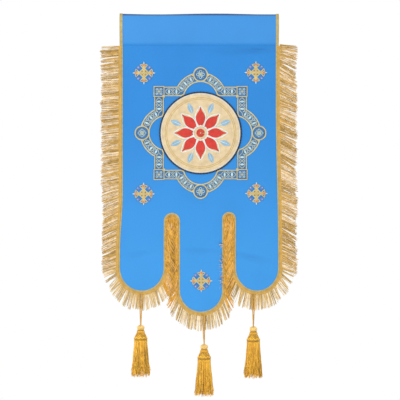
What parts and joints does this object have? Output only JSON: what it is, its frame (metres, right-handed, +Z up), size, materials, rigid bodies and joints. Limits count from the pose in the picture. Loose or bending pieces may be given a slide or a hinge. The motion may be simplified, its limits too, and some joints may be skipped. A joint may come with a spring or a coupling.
{
  "type": "church banner",
  "caption": "Hanging banner of blue cloth with round-ended tongues, a pole pocket, gold binding, long fringe and hanging tassels.",
  "frame": {"origin": "middle of the top edge of the pole pocket, where the cross bar carries the banner", "axes": "+Z up, +X to the right seen from the front, the front faces -Y"},
  "size_m": [0.6638, 0.0648, 1.2585],
  "materials": {
    "cloth": "smooth woven cloth with a soft sheen",
    "binding": "gold tape",
    "fringe": "twisted gold thread",
    "tassel": "glossy gold thread",
    "cord": "twisted gold cord",
    "embroidery": "raised embroidery in cream and gold",
    "medallion": "worked patch in cream, gold and red",
    "navy_cord": "dark twisted cord"
  },
  "bodies": {
    "root": {"banner_cloth": "cloth", "rod_sleeve": "cloth", "edge_binding": "binding", "sleeve_binding_left": "binding", "sleeve_binding_right": "binding", "fringe": "fringe", "medallion": "medallion", "medallion_cord": "navy_cord", "ornament_frame": "embroidery", "cross_upper_left": "embroidery", "cross_upper_right": "embroidery", "cross_lower_left": "embroidery", "cross_lower_right": "embroidery", "cross_tongue": "embroidery", "tassel_left": "tassel", "tassel_middle": "tassel", "tassel_right": "tassel", "hanger_left_a": "cord", "hanger_left_b": "cord", "hanger_middle_a": "cord", "hanger_middle_b": "cord", "hanger_right_a": "cord", "hanger_right_b": "cord"}
  },
  "joints": []
}
